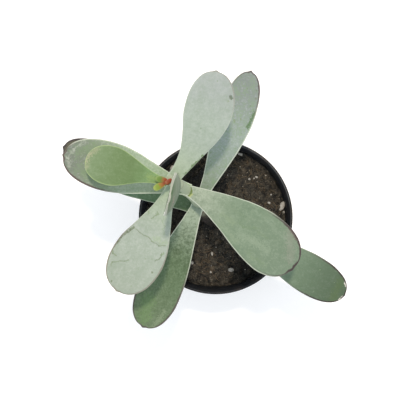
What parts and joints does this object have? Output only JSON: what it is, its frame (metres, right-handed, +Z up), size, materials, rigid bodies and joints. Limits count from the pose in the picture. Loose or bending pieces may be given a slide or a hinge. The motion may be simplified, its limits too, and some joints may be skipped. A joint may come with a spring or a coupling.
{
  "type": "potted silver peak cotyledon",
  "caption": "Succulent with a leaning stem and crossed pairs of silver-green, paddle-shaped leaves with dark margins, growing in a round black nursery pot.",
  "frame": {"origin": "middle of the pot's flat underside, on the surface that the pot stands on", "axes": "+Z up out of the pot; +X to the right and +Y to the top of the picture, which looks straight down"},
  "size_m": [0.1594, 0.1376, 0.1948],
  "materials": {
    "pot": "black moulded plastic, satin",
    "soil": "moist peat with perlite",
    "stem": "dry bark below, bloomed green above",
    "leaf_1_right": "waxy, thin bloom",
    "leaf_1_left": "waxy, olive tip with dark margin",
    "leaf_2_front": "waxy, mottled bloom",
    "leaf_2_back": "powdery bloom",
    "leaf_3_right": "powdery bloom",
    "leaf_3_left": "powdery bloom",
    "leaf_4_back": "thick silver bloom",
    "leaf_4_front": "thick silver bloom",
    "leaf_5_left": "young, yellow-green, smooth",
    "leaf_5_upright": "thick bloom, purple margin",
    "growing_tip": "fresh green with red bases"
  },
  "bodies": {
    "root": {"pot": "pot", "soil": "soil", "stem": "stem", "leaf_1_right": "leaf_1_right", "leaf_1_left": "leaf_1_left", "leaf_2_front": "leaf_2_front", "leaf_2_back": "leaf_2_back", "leaf_3_right": "leaf_3_right", "leaf_3_left": "leaf_3_left", "leaf_4_back": "leaf_4_back", "leaf_4_front": "leaf_4_front", "leaf_5_left": "leaf_5_left", "leaf_5_upright": "leaf_5_upright", "growing_tip": "growing_tip"}
  },
  "joints": []
}
